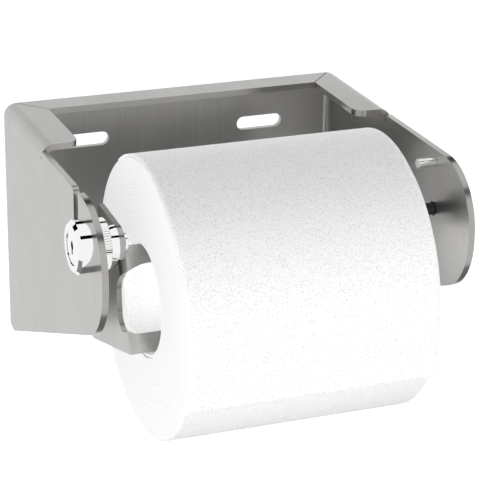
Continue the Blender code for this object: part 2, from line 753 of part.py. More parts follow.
def build_carrier(material):
    """Cut the carrier flat, score its bends and fold it."""
    inside = CARRIER_BEND - CARRIER_SHEET
    web_start = leg_arc()
    tab_start = web_start + (TAB_X - inside) - (LEG_X + CARRIER_BEND)
    tab_arc = inside * math.pi / 2
    axle = Vector((0, AXLE_Y, AXLE_Z)) - WEB_TOP
    axle_ahead = -axle.dot(BACK_WEB)
    axle_height = axle.dot(UP_WEB)
    lobe_x = tab_start + tab_arc + axle_ahead - inside
    low_prong_end = web_start + LOW_PRONG_END_X - (LEG_X + CARRIER_BEND)
    bottom = -WEB_HEIGHT
    leg_rear = CARRIER_BEND - LEG_REACH
    outline = rounded([
        (lobe_x + TAB_LOBE_RADIUS, axle_height + TAB_LOBE_RADIUS, TAB_LOBE_RADIUS - MERGE),
        (lobe_x - TAB_LOBE_RADIUS, axle_height + TAB_LOBE_RADIUS, TAB_LOBE_RADIUS / 2),
        (tab_start + tab_arc, 0, 0),
        (CARRIER_BEND - LEG_TOP_REACH, 0, LEG_CORNER),
        (leg_rear, bottom + LEG_HEEL_RISE, LEG_CORNER),
        (0, bottom, 0),
        (low_prong_end, bottom, PRONG_RADIUS),
        (low_prong_end, bottom + PRONG_HEIGHT, PRONG_RADIUS),
        (web_start, bottom + PRONG_HEIGHT, 0),
        (CARRIER_BEND - WINDOW_LOW_REACH, bottom + PRONG_HEIGHT + WINDOW_LOW_RISE, WINDOW_LOW_RADIUS),
        (CARRIER_BEND - WINDOW_SHOULDER_REACH, -PRONG_HEIGHT - WINDOW_SHOULDER_DROP, WINDOW_SHOULDER_RADIUS),
        (web_start + WINDOW_BROW_RUN, -PRONG_HEIGHT, WINDOW_BROW_RADIUS),
        (lobe_x + TAB_LOBE_RADIUS, -PRONG_HEIGHT, PRONG_RADIUS),
    ])
    eye = circle(lobe_x, axle_height, AXLE_RADIUS + GAP, TURN_STEPS // 2)
    mesh = flat_mesh("carrier", [outline, eye], CARRIER_SHEET)
    scored = bmesh.new()
    scored.from_mesh(mesh)
    bends = [web_start * step / BEND_CUTS for step in range(BEND_CUTS + 1)]
    bends += [tab_start + tab_arc * step / BEND_CUTS for step in range(BEND_CUTS + 1)]
    for place_x in bends:
        everything = scored.verts[:] + scored.edges[:] + scored.faces[:]
        bmesh.ops.bisect_plane(
            scored, geom=everything, dist=MERGE / 10, plane_co=(place_x, 0, 0), plane_no=(1, 0, 0),
        )
    bmesh.ops.triangulate(scored, faces=scored.faces)
    scored.to_mesh(mesh)
    scored.free()
    bend_carrier(mesh)
    carrier = add_object("carrier", mesh, PARTS)
    shade(carrier, material)


def build_hook(material):
    """Join the tongue that drops into the slot to the bar on the leg's face."""
    bar_near = LEG_X - GAP - HOOK_DEPTH
    top = AXLE_Z - AXLE_RADIUS + HOOK_HEIGHT
    section = rounded([
        (AXLE_Y - AXLE_RADIUS, AXLE_Z - AXLE_RADIUS, AXLE_RADIUS - MERGE),
        (AXLE_Y + AXLE_RADIUS, AXLE_Z - AXLE_RADIUS, AXLE_RADIUS - MERGE),
        (AXLE_Y + AXLE_RADIUS, top, HOOK_EDGE),
        (AXLE_Y - AXLE_RADIUS, top, HOOK_EDGE),
    ])
    hook = plate("hook", [section], "X", -SIDE_X - HOOK_OUTSIDE, bar_near + HOOK_DEPTH)
    away = Vector((math.cos(HOOK_DIP), -math.sin(HOOK_DIP)))
    across = Vector((-away.y, away.x)) * AXLE_RADIUS
    start = Vector((AXLE_Y, AXLE_Z))
    end = start + away * HOOK_RUN
    bar = rounded([
        (*(start - across), 0),
        (*(end - across), HOOK_EDGE),
        (*(end + across), HOOK_EDGE),
        (*(start + across), 0),
    ])
    arm = as_cutter(plate("hook_arm", [bar], "X", bar_near, bar_near + HOOK_DEPTH, CUTTERS))
    boolean(hook, arm, "UNION")
    shade(hook, material)


def build_pivot_pin(material):
    """Turn the headed pin that joins the tab to the right side plate."""
    head_far = TAB_X - GAP
    head_near = head_far - PIVOT_HEAD
    end = SIDE_X
    pin = turned("pivot_pin", [
        (end, 0),
        (end, AXLE_RADIUS - STOP_EDGE),
        (end - STOP_EDGE, AXLE_RADIUS),
        (head_far, AXLE_RADIUS),
        (head_far, PIVOT_HEAD_RADIUS),
        (head_near, PIVOT_HEAD_RADIUS),
        (head_near, 0),
    ], AXLE_Y, AXLE_Z, steps=TURN_STEPS // 2)
    shade(pin, material)


def main():
    """Build every piece."""
    global PARTS, CUTTERS
    clear_scene()
    PARTS = make_collection("toilet_roll_holder")
    CUTTERS = make_collection("cutters")
    steel = make_material("brushed_steel", (0.52, 0.52, 0.51), 1, 0.35)
    chrome = make_material("chrome", (0.8, 0.8, 0.8), 1, 0.06)
    brass = make_material("brass", (0.72, 0.55, 0.28), 1, 0.3)
    paper = make_material("paper", (0.9, 0.9, 0.89), 0, 0.9)
    card = make_material("cardboard", (0.82, 0.8, 0.76), 0, 0.9)
    build_bracket(steel)
    build_stop_pin(steel)
    build_carrier(steel)
    build_hook(steel)
    build_pivot_pin(steel)
    face, back = build_lock_body(chrome)
    places = build_plug(face, back, chrome, brass)
    build_cam(places, steel, chrome)
    build_roll(card, paper)


main()
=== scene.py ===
"""Finish and studio for the lockable toilet roll holder.

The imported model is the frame. This script gives its steel, chrome and brass
their finish, winds the paper roll, hangs its free sheet and sets the studio.
"""

import json
import math

import bmesh
import bpy
from mathutils import Matrix, Vector
from mathutils.bvhtree import BVHTree


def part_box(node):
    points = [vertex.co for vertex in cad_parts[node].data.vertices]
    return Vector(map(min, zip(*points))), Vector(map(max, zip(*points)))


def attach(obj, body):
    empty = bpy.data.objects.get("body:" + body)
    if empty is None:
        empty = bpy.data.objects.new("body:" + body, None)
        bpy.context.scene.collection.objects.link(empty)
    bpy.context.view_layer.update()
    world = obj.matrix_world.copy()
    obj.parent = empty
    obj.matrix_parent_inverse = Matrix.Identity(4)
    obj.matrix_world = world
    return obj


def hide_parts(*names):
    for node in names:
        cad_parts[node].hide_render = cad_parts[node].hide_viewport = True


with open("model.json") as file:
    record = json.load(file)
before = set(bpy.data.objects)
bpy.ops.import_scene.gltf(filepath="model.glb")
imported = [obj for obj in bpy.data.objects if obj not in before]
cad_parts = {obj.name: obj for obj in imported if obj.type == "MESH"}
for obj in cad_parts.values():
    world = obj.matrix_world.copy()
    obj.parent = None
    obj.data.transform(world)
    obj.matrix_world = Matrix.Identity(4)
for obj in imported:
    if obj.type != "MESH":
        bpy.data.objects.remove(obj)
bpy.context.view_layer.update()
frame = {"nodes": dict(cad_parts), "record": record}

bl_info = {
    "name": "Toilet Roll Holder",
    "version": (1, 0, 0),
    "blender": (4, 5, 0),
    "location": "View3D > Sidebar > Holder",
    "description": "Finishes a wall holder for one toilet roll and sets its studio",
    "category": "Object",
}

MM = 0.001
WHITE = "#FFFFFF"
BLACK = "#000000"

# Places read from the frame
BRACKET_LOW, BRACKET_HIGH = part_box("bracket")
ROLL_LOW, ROLL_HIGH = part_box("paper_roll")
CORE_LOW, CORE_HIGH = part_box("core_tube")
TAIL_LOW, TAIL_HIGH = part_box("paper_tail")
HOUSING_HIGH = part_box("lock_housing")[1]
NUT_LOW, NUT_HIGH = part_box("lock_nut")
PLUG_LOW, PLUG_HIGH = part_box("lock_plug")
CAM_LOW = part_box("lock_cam")[0]
ROLL_AXIS = (ROLL_LOW + ROLL_HIGH) / 2
ROLL_RADIUS = (ROLL_HIGH.z - ROLL_LOW.z) / 2
CORE_RADIUS = (CORE_HIGH.z - CORE_LOW.z) / 2

NODE_BODY = {
    node: body for body, nodes in frame["record"]["behaviour"]["bodies"].items() for node in nodes
}

# Meshes: corners closer than this are one, and the turns that count as flat, eased and sharp
MERGE = 0.001 * MM
FLAT_TURN = math.radians(0.5)
EASED_TURN = math.radians(40)
SHARP_TURN = math.radians(35)
EASED_SEGMENTS = 2
RING_STEPS = 192

# Rim corner lines, which part the grain of the sides from that of the back
MITRE_START = 58.65 * MM
MITRE_SLOPE = 0.89
RIM_DEPTH = 16.8 * MM

# Thicknesses of the two sheets, and how far off a measured one may be
BRACKET_SHEET = 2.5 * MM
CARRIER_SHEET = 2.0 * MM
SHEET_TOLERANCE = 0.15 * MM

# Depth that stands for nothing behind a face, and the cosine above which two faces lie flush
NOTHING_BEHIND = 1000 * MM
FLUSH = 0.9999

# Shoulders this close to a plate are drawn up to it, and the barrel leaves the cam its play
SEAT_GAP = 0.4 * MM
CAM_PLAY = 0.1 * MM

# Lock: its nut's bore and knurl, and the walls of its keyway, which are painted dark as shade
NUT_BORE = 7.0 * MM
NUT_SHARP_TURN = math.radians(25)
KNURL_TEETH = 60
STEPS_A_TOOTH = 4
KEYHOLE_REACH = 3.3 * MM
KEYHOLE_SINK = 0.05 * MM
WAFER_COUNT = 5

# Wound paper: its rounded shoulders, its play on the core, and how straight an end faces
SHOULDER = 1.2 * MM
SHOULDER_STEPS = 5
CORE_PLAY = 0.3 * MM
END_FACING = 0.9

# Free sheet: it squares up with the roll over the top, and its start sinks into the winding
SHEET_WRAP = math.radians(122)
SHEET_LIFT = 0.35 * MM
SHEET_THICKNESS = 0.25 * MM
SHEET_SHARP_TURN = math.radians(60)
SHEET_COLUMNS = 50
SHEET_ROWS = 90
FRONT_TURN = math.radians(45)
SINK_TURN = math.radians(14)
SINK = 0.6 * MM

# Roughness of each finish, and how much the brushed grain changes a tone
SHEET_ROUGHNESS = 0.3
CUT_ROUGHNESS = 0.23
TURNED_ROUGHNESS = 0.13
BLACKENED_ROUGHNESS = 0.35
CHROME_ROUGHNESS = 0.04
KNURL_ROUGHNESS = 0.08
KEYWAY_ROUGHNESS = 0.4
BRASS_ROUGHNESS = 0.3
PAPER_ROUGHNESS = 0.95
PAPER_SHINE = 0.2
PAPER_SHEEN = 0.1
SHEET_GRAIN = 0.05
FAINT_GRAIN = 0.02

# Soft clouds in the gloss: their share of the roughness on steel and on chrome, and their width there
STEEL_CLOUD = 0.05
CHROME_CLOUD = 0.4
CHROME_CLOUD_SIZE = 2.5 * MM

# Paper: fibres to a dot and their height, and fluff on the ends with its height
FIBRES_A_DOT = 3
FIBRE_HEIGHT = 0.5
FLUFF_SIZE = 0.8 * MM
FLUFF_HEIGHT = 0.4
LAYER_DEPTH = 0.15 * MM

# Paper: noise levels at which a dot or a layer is darkest and has faded
DOT_DARKEST = 0.34
DOT_FADED = 0.5
LAYER_DARKEST = 0.3
LAYER_FADED = 0.6

# Studio: the floor, the room's light on the part, and what the lamps and the cards face
FLOOR_SIZE = 6000 * MM
FLOOR_DROP = 500 * MM
FLOOR_COLOUR = "#BABAB9"
FLOOR_ROUGHNESS = 0.8
FLOOR_GLOW = 0.85
ROOM_LIGHT = 0.38
PART_MIDDLE = Vector((0, -80 * MM, 0))

# Lamps: place in millimetres, level on white paper, and whether the lamp casts a shadow
LAMP_SIZE = 500 * MM
LAMPS = {
    "front_lamp": ((100, -1300, -60), 0.66, False),
    "left_lamp": ((-1300, -150, 60), 0.62, False),
    "right_lamp": ((1300, -100, 300), 0.28, False),
    "back_lamp": ((0, 950, 700), 0.52, True),
}

# Cards that the metal mirrors: place and width in millimetres, and tone
CARD_LENGTH = 4000 * MM
CARDS = {
    "card_behind": ((0, 1060, 1050), 620, BLACK),
    "card_above": ((0, -870, 1220), 360, BLACK),
    "card_below": ((0, -50, -480), 500, "#8A8A89"),
}

# Camera, in millimetres and degrees as the photograph's lines give them
IMAGE_WIDTH = 486
FOCAL_PIXELS = 2069.6
SENSOR_WIDTH = 36.0
CAMERA_PLACE = (-273.66, -795.18, 305.65)
CAMERA_AZIMUTH = math.radians(21.11)
CAMERA_ELEVATION = math.radians(21.29)
CAMERA_ROLL = math.radians(0.725)
CAMERA_NEAR = 10 * MM


def linear(hex_colour):
    """Turn an sRGB hex colour into linear RGBA."""
    digits = hex_colour.lstrip("#")
    values = [int(digits[start:start + 2], 16) / 255 for start in (0, 2, 4)]
    low = 0.04045
    return tuple(
        value / 12.92 if value <= low else ((value + 0.055) / 1.055) ** 2.4 for value in values
    ) + (1.0,)


def add_node(tree, kind, settings=None, inputs=None, links=None):
    """Add a node, set its properties and sockets, and link outputs to its inputs."""
    made = tree.nodes.new(kind)
    for name, value in (settings or {}).items():
        setattr(made, name, value)
    for socket, value in (inputs or {}).items():
        made.inputs[socket].default_value = value
    for socket, output in (links or {}).items():
        tree.links.new(output, made.inputs[socket])
    return made


def new_material(name):
    """Start a node material and return it with its tree and its shader."""
    material = bpy.data.materials.new(name)
    material.use_nodes = True
    tree = material.node_tree
    return material, tree, tree.nodes["Principled BSDF"]


def linked(solid, name, sharp_turn=SHARP_TURN):
    """Turn a bmesh into a shaded object in the scene."""
    mesh = bpy.data.meshes.new(name)
    solid.to_mesh(mesh)
    solid.free()
    mesh.shade_smooth()
    mesh.set_sharp_from_angle(angle=sharp_turn)
    piece = bpy.data.objects.new(name, mesh)
    bpy.context.scene.collection.objects.link(piece)
    return piece


def mark_cut_edges(solid, thickness):
    """Set the second material on faces with no second face one sheet's thickness behind them."""
    tree = BVHTree.FromBMesh(solid)
    for face in solid.faces:
        inward = -face.normal
        start = face.calc_center_median() + inward * SHEET_TOLERANCE / 2
        distance = tree.ray_cast(start, inward)[3]
        depth = (distance or NOTHING_BEHIND) + SHEET_TOLERANCE / 2
        face.material_index = 0 if abs(depth - thickness) < SHEET_TOLERANCE else 1
    # A sliver beside a bend can miss the far side, and follows the larger face that it lies flush with
    for face in solid.faces:
        for edge in face.edges:
            for other in edge.link_faces:
                larger = other.calc_area() > face.calc_area()
                if larger and other.material_index == 0 and other.normal.dot(face.normal) > FLUSH:
                    face.material_index = 0


def dressed(node, name, materials, edge, thickness=None):
    """Copy a solid with its corners merged and its edges eased, and let the copy stand for it."""
    solid = bmesh.new()
    solid.from_mesh(frame["nodes"][node].data)
    bmesh.ops.remove_doubles(solid, verts=solid.verts, dist=MERGE)
    if thickness:
        mark_cut_edges(solid, thickness)
    bmesh.ops.dissolve_limit(
        solid, angle_limit=FLAT_TURN, verts=solid.verts, edges=solid.edges, delimit={"MATERIAL"},
    )
    piece = linked(solid, name)
    for material in materials:
        piece.data.materials.append(material)
    if edge:
        eased = piece.modifiers.new("eased_edges", "BEVEL")
        eased.width = edge
        eased.segments = EASED_SEGMENTS
        eased.limit_method = "ANGLE"
        eased.angle_limit = EASED_TURN
        eased.use_clamp_overlap = False
        eased.material = -1
    flat = piece.modifiers.new("flat_faces", "WEIGHTED_NORMAL")
    flat.keep_sharp = True
    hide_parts(node)
    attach(piece, NODE_BODY[node])
    return piece


def seat(piece, plate_x):
    """Draw a shoulder that faces a plate from its left up to the plate."""
    for vert in piece.data.vertices:
        if 0 < plate_x - vert.co.x < SEAT_GAP:
            vert.co.x = plate_x


def turned_ring(profile, axis_place, steps=RING_STEPS):
    """Spin (x, radius) points about a line along X into a closed ring."""
    ring = bmesh.new()
    corners = [
        ring.verts.new((x, axis_place.y + radius, axis_place.z)) for x, radius in profile
    ]
    edges = [
        ring.edges.new((corners[index - 1], corners[index])) for index in range(len(corners))
    ]
    bmesh.ops.spin(
        ring, geom=corners + edges, cent=axis_place, axis=(1, 0, 0), angle=2 * math.pi,
        steps=steps, use_merge=True,
    )
    bmesh.ops.remove_doubles(ring, verts=ring.verts, dist=MERGE)
    bmesh.ops.recalc_face_normals(ring, faces=ring.faces)
    return ring


def smooth_share(value, low, high):
    """Return 0 at low and 1 at high, with an eased rise between them."""
    share = min(max((value - low) / (high - low), 0), 1)
    return share * share * (3 - 2 * share)


def brushed_stainless(name, colour, roughness, strength):
    """Stainless sheet, brushed before it was bent: fine lines across its length, soft wide highlights."""
    sizes = bpy.context.scene.holder_sizes
    material, tree, shader = new_material(name)
    place = add_node(tree, "ShaderNodeTexCoord")
    parts = add_node(tree, "ShaderNodeSeparateXYZ", links={"Vector": place.outputs["Object"]})
    reach = add_node(
        tree, "ShaderNodeMath", {"operation": "ABSOLUTE"}, links={0: parts.outputs["X"]},
    )
    behind = add_node(
        tree, "ShaderNodeMath", {"operation": "MULTIPLY_ADD"},
        {1: MITRE_SLOPE, 2: MITRE_START + MITRE_SLOPE * RIM_DEPTH}, {0: parts.outputs["Y"]},
    )
    on_side = add_node(
        tree, "ShaderNodeMath", {"operation": "GREATER_THAN"},
        links={0: reach.outputs[0], 1: behind.outputs[0]},
    )
    fine = 1 / sizes.brush_pitch
    slow = fine / sizes.brush_stretch
    grains = []
    for scale in ((slow, fine, slow), (fine, slow, slow)):
        stretched = add_node(
            tree, "ShaderNodeMapping", inputs={"Scale": scale},
            links={"Vector": place.outputs["Object"]},
        )
        grains.append(add_node(
            tree, "ShaderNodeTexNoise", inputs={"Scale": 1.0, "Detail": 3.0, "Roughness": 0.6},
            links={"Vector": stretched.outputs["Vector"]},
        ))
    grain = add_node(
        tree, "ShaderNodeMix", {"data_type": "FLOAT"},
        links={"Factor": on_side.outputs[0], 2: grains[1].outputs["Fac"], 3: grains[0].outputs["Fac"]},
    )
    cloud = add_node(
        tree, "ShaderNodeTexNoise", inputs={"Scale": 1 / sizes.cloud_size, "Detail": 2.0},
        links={"Vector": place.outputs["Object"]},
    )
    tint = add_node(
        tree, "ShaderNodeMapRange",
        inputs={"From Min": 0.3, "From Max": 0.7, "To Min": 1 - strength, "To Max": 1 + strength},
        links={"Value": grain.outputs[0]},
    )
    shade = add_node(
        tree, "ShaderNodeMix", {"data_type": "RGBA", "blend_type": "MULTIPLY"},
        {"Factor": 1.0, 6: linear(colour)}, {7: tint.outputs[0]},
    )
    dull = add_node(
        tree, "ShaderNodeMapRange",
        inputs={
            "From Min": 0.35, "From Max": 0.65,
            "To Min": roughness * (1 - STEEL_CLOUD), "To Max": roughness * (1 + STEEL_CLOUD),
        },
        links={"Value": cloud.outputs["Fac"]},
    )
    relief = add_node(
        tree, "ShaderNodeBump", inputs={"Strength": 0.1, "Distance": sizes.brush_depth},
        links={"Height": grain.outputs[0]},
    )
    shader.inputs["Metallic"].default_value = 1.0
    tree.links.new(shade.outputs[2], shader.inputs["Base Color"])
    tree.links.new(dull.outputs[0], shader.inputs["Roughness"])
    tree.links.new(relief.outputs[0], shader.inputs["Normal"])
    return material


def polished_metal(name, colour, roughness):
    """Turned and buffed metal, such as chrome plate: mirror-bright, with faint clouds in its gloss."""
    material, tree, shader = new_material(name)
    place = add_node(tree, "ShaderNodeTexCoord")
    cloud = add_node(
        tree, "ShaderNodeTexNoise", inputs={"Scale": 1 / CHROME_CLOUD_SIZE, "Detail": 2.0},
        links={"Vector": place.outputs["Object"]},
    )
    dull = add_node(
        tree, "ShaderNodeMapRange",
        inputs={"To Min": roughness * (1 - CHROME_CLOUD), "To Max": roughness * (1 + CHROME_CLOUD)},
        links={"Value": cloud.outputs["Fac"]},
    )
    shader.inputs["Base Color"].default_value = linear(colour)
    shader.inputs["Metallic"].default_value = 1.0
    tree.links.new(dull.outputs[0], shader.inputs["Roughness"])
    return material


def embossed_tissue(name, colour, dark_colour):
    """Soft tissue, embossed with fine random dots: matt white, its dots speckled darker, as painted shade
    on tissue and as fibres on card.
    """
    sizes = bpy.context.scene.holder_sizes
    material, tree, shader = new_material(name)
    place = add_node(tree, "ShaderNodeTexCoord")
    dots = add_node(
        tree, "ShaderNodeTexNoise",
        inputs={"Scale": 1 / sizes.emboss_pitch, "Detail": 3.0, "Roughness": 0.7},
        links={"Vector": place.outputs["Object"]},
    )
    fibres = add_node(
        tree, "ShaderNodeTexNoise",
        inputs={"Scale": FIBRES_A_DOT / sizes.emboss_pitch, "Detail": 2.0, "Roughness": 0.6},
        links={"Vector": place.outputs["Object"]},
    )
    heights = add_node(
        tree, "ShaderNodeMath", {"operation": "MULTIPLY_ADD"}, {1: FIBRE_HEIGHT},
        {0: fibres.outputs["Fac"], 2: dots.outputs["Fac"]},
    )
    # Dots darkened by the ramp: painted shade of the embossing
    speckle = add_node(tree, "ShaderNodeValToRGB", links={"Fac": dots.outputs["Fac"]})
    speckle.color_ramp.elements[0].position = DOT_DARKEST
    speckle.color_ramp.elements[0].color = linear(dark_colour)
    speckle.color_ramp.elements[1].position = DOT_FADED
    speckle.color_ramp.elements[1].color = linear(colour)
    relief = add_node(
        tree, "ShaderNodeBump", inputs={"Strength": 0.5, "Distance": sizes.emboss_depth},
        links={"Height": heights.outputs[0]},
    )
    shader.inputs["Roughness"].default_value = PAPER_ROUGHNESS
    shader.inputs["Specular IOR Level"].default_value = PAPER_SHINE
    shader.inputs["Sheen Weight"].default_value = PAPER_SHEEN
    tree.links.new(speckle.outputs["Color"], shader.inputs["Base Color"])
    tree.links.new(relief.outputs[0], shader.inputs["Normal"])
    return material


def wound_layers(name, colour, dark_colour, axis_place):
    """Cut ends of wound tissue: matt white, with a faint ring for every few layers."""
    sizes = bpy.context.scene.holder_sizes
    material, tree, shader = new_material(name)
    place = add_node(tree, "ShaderNodeTexCoord")
    centred = add_node(
        tree, "ShaderNodeMapping",
        inputs={"Location": tuple(-value for value in axis_place)},
        links={"Vector": place.outputs["Object"]},
    )
    flat = add_node(
        tree, "ShaderNodeVectorMath", {"operation": "MULTIPLY"}, {1: (0, 1, 1)},
        {0: centred.outputs["Vector"]},
    )
    radius = add_node(
        tree, "ShaderNodeVectorMath", {"operation": "LENGTH"}, links={0: flat.outputs[0]},
    )
    rings = add_node(
        tree, "ShaderNodeTexNoise", {"noise_dimensions": "1D"},
        {"Scale": 1 / sizes.layer_pitch, "Detail": 4.0, "Roughness": 0.7},
        {"W": radius.outputs["Value"]},
    )
    fluff = add_node(
        tree, "ShaderNodeTexNoise", inputs={"Scale": 1 / FLUFF_SIZE, "Detail": 3.0},
        links={"Vector": place.outputs["Object"]},
    )
    mixed = add_node(
        tree, "ShaderNodeMath", {"operation": "MULTIPLY_ADD"}, {1: FLUFF_HEIGHT},
        {0: fluff.outputs["Fac"], 2: rings.outputs["Fac"]},
    )
    tone = add_node(tree, "ShaderNodeValToRGB", links={"Fac": rings.outputs["Fac"]})
    tone.color_ramp.elements[0].position = LAYER_DARKEST
    tone.color_ramp.elements[0].color = linear(dark_colour)
    tone.color_ramp.elements[1].position = LAYER_FADED
    tone.color_ramp.elements[1].color = linear(colour)
    relief = add_node(
        tree, "ShaderNodeBump", inputs={"Strength": 0.3, "Distance": LAYER_DEPTH},
        links={"Height": mixed.outputs[0]},
    )
    shader.inputs["Roughness"].default_value = PAPER_ROUGHNESS
    shader.inputs["Specular IOR Level"].default_value = PAPER_SHINE
    tree.links.new(tone.outputs["Color"], shader.inputs["Base Color"])
    tree.links.new(relief.outputs[0], shader.inputs["Normal"])
    return material


class HolderSizes(bpy.types.PropertyGroup):
    """Sizes of the finishes, the eased edges and the knurl."""

    brush_pitch: bpy.props.FloatProperty(
        name="Brush pitch", description="Distance between two brushed lines, coarse enough to show",
        default=1.0 * MM, unit="LENGTH",
    )
    brush_stretch: bpy.props.FloatProperty(
        name="Brush stretch", description="Length of a brushed line over its width", default=90.0,
    )
    brush_depth: bpy.props.FloatProperty(
        name="Brush depth", description="Depth of a brushed line", default=0.02 * MM, unit="LENGTH",
    )
    cloud_size: bpy.props.FloatProperty(
        name="Cloud size", description="Width of the soft clouds in the steel's gloss",
        default=18 * MM, unit="LENGTH",
    )
    emboss_pitch: bpy.props.FloatProperty(
        name="Emboss pitch", description="Distance between two dots, coarse enough to show",
        default=0.48 * MM, unit="LENGTH",
    )
    emboss_depth: bpy.props.FloatProperty(
        name="Emboss depth", description="Depth of an embossed dot", default=0.25 * MM, unit="LENGTH",
    )
    layer_pitch: bpy.props.FloatProperty(
        name="Layer pitch", description="Distance between two layers, coarse enough to show",
        default=0.6 * MM, unit="LENGTH",
    )
    pin_edge: bpy.props.FloatProperty(
        name="Pin edge", description="How far the pins' edges are eased", default=0.15 * MM,
        unit="LENGTH",
    )
    lock_edge: bpy.props.FloatProperty(
        name="Lock edge", description="How far the edges of the lock's nut are eased",
        default=0.12 * MM, unit="LENGTH",
    )
    knurl_depth: bpy.props.FloatProperty(
        name="Knurl depth", description="Depth of the knurl on the lock's nut", default=0.45 * MM,
        unit="LENGTH",
    )


class HolderColours(bpy.types.PropertyGroup):
    """Colours of the finishes, as sRGB hex."""

    steel: bpy.props.StringProperty(name="Steel", description="Brushed sheet", default="#BBBAB8")
    bright: bpy.props.StringProperty(name="Bright steel", description="Turned pins", default="#E8E8E6")
    cut: bpy.props.StringProperty(name="Cut steel", description="Cut edges and hook", default="#ADABA8")
    # Black steel: the pivot pin's own finish, and the painted shade of the keyway
    black: bpy.props.StringProperty(
        name="Black steel", description="Pivot pin and keyway", default="#4A4A4A",
    )
    chrome: bpy.props.StringProperty(name="Chrome", description="Lock", default="#F4F4F4")
    brass: bpy.props.StringProperty(name="Brass", description="Wafers", default="#C9A75A")
    tissue: bpy.props.StringProperty(
        name="Tissue", description="Free sheet and the roll's ends", default="#FCFCFC",
    )
    # Winding: the free sheet's tissue painted a shade greyer, as painted shade on the roll
    winding: bpy.props.StringProperty(name="Winding", description="Wound paper", default="#F4F4F4")
    layer: bpy.props.StringProperty(name="Layer", description="Layers at the ends", default="#EEEEEE")
    # Speckle: painted shade in the embossed dots
    speckle: bpy.props.StringProperty(name="Speckle", description="Embossed dots", default="#D4D4D4")
    card: bpy.props.StringProperty(name="Card", description="Core", default="#FDFDFD")
    fibre: bpy.props.StringProperty(name="Fibre", description="Fibres of the core", default="#EAEAEA")


class HOLDER_OT_steel(bpy.types.Operator):
    """Finish the bent sheets, the pins and the cam"""

    bl_idname = "holder.steel"
    bl_label = "Steel"

    def execute(self, context):
        colours = context.scene.holder_colours
        sizes = context.scene.holder_sizes
        # Brushed stainless sheet: pale and satin, with fine lines that a real one has closer together
        sheet = brushed_stainless("brushed_stainless", colours.steel, SHEET_ROUGHNESS, SHEET_GRAIN)
        # Laser-cut stainless edge: darker and glossier than the sheet, so that bends flash along it
        cut = brushed_stainless("cut_stainless_edge", colours.cut, CUT_ROUGHNESS, FAINT_GRAIN)
        # Turned stainless: bright, almost a mirror
        bright = brushed_stainless("turned_stainless", colours.bright, TURNED_ROUGHNESS, FAINT_GRAIN)
        # Blackened steel: dark and soft, with one dull highlight
        black = brushed_stainless("blackened_steel", colours.black, BLACKENED_ROUGHNESS, FAINT_GRAIN)
        dressed("bracket", "bent_bracket", (sheet, cut), 0, BRACKET_SHEET)
        dressed("carrier", "bent_carrier", (sheet, cut), 0, CARRIER_SHEET)
        dressed("lock_cam", "cam_bar", (sheet, cut), 0, CARRIER_SHEET)
        stop = dressed("stop_pin", "riveted_stop_pin", (bright,), sizes.pin_edge)
        seat(stop, BRACKET_HIGH.x - BRACKET_SHEET)
        dressed("hook", "welded_hook", (cut,), sizes.pin_edge)
        dressed("pivot_pin", "headed_pivot_pin", (black,), sizes.pin_edge)
        dressed("cam_washer", "thin_washer", (bright,), 0)
        return {"FINISHED"}


class HOLDER_OT_lock(bpy.types.Operator):
    """Finish the cam lock and its wafers, and cut the knurl of its nut"""

    bl_idname = "holder.lock"
    bl_label = "Lock"

    def execute(self, context):
        colours = context.scene.holder_colours
        sizes = context.scene.holder_sizes
        # Chrome plate on turned zinc: a mirror, white with crisp black lines
        chrome = polished_metal("chrome_plate", colours.chrome, CHROME_ROUGHNESS)
        # Chrome plate on a knurl: as bright, a little softer between the teeth
        knurl = polished_metal("chrome_on_knurl", colours.chrome, KNURL_ROUGHNESS)
        # Milled keyway: painted shade, dark and dull, so that the keyhole reads as a recess
        keyway_shade = polished_metal("painted_shade_keyway", colours.black, KEYWAY_ROUGHNESS)
        # Stamped brass: yellow and satin
        brass = polished_metal("stamped_brass", colours.brass, BRASS_ROUGHNESS)
        housing = dressed("lock_housing", "lock_head_and_barrel", (chrome,), 0)
        seat(housing, BRACKET_LOW.x)
        seat(housing, CAM_LOW.x - CAM_PLAY)
        plug = dressed("lock_plug", "keyed_plug", (chrome, keyway_shade), 0)
        axis = (PLUG_LOW + PLUG_HIGH) / 2
        # Faces sunk into the keyway get the painted shade
        for face in plug.data.polygons:
            off = face.center - axis
            sunk = face.center.x > PLUG_LOW.x + KEYHOLE_SINK
            if sunk and math.hypot(off.y, off.z) < KEYHOLE_REACH and face.center.x < HOUSING_HIGH.x:
                face.material_index = 1
        dressed("cam_nut", "round_cam_nut", (chrome,), 0)
        for number in range(1, WAFER_COUNT + 1):
            dressed(f"wafer_{number}", f"brass_wafer_{number}", (brass,), 0)
        radius = (NUT_HIGH.z - NUT_LOW.z) / 2
        soft = sizes.lock_edge
        profile = [
            (NUT_LOW.x, NUT_BORE), (NUT_LOW.x, radius - soft), (NUT_LOW.x + soft, radius),
            (NUT_HIGH.x - soft, radius), (NUT_HIGH.x, radius - soft), (NUT_HIGH.x, NUT_BORE),
        ]
        axis = (NUT_LOW + NUT_HIGH) / 2
        nut = turned_ring(profile, axis, KNURL_TEETH * STEPS_A_TOOTH)
        for vert in nut.verts:
            around = Vector((0, vert.co.y - axis.y, vert.co.z - axis.z))
            if around.length > radius - soft / 2:
                turn = math.atan2(around.z, around.y)
                vert.co += around.normalized() * sizes.knurl_depth * (math.cos(KNURL_TEETH * turn) - 1) / 2
        piece = linked(nut, "knurled_nut", NUT_SHARP_TURN)
        piece.data.materials.append(knurl)
        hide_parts("lock_nut")
        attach(piece, NODE_BODY["lock_nut"])
        return {"FINISHED"}


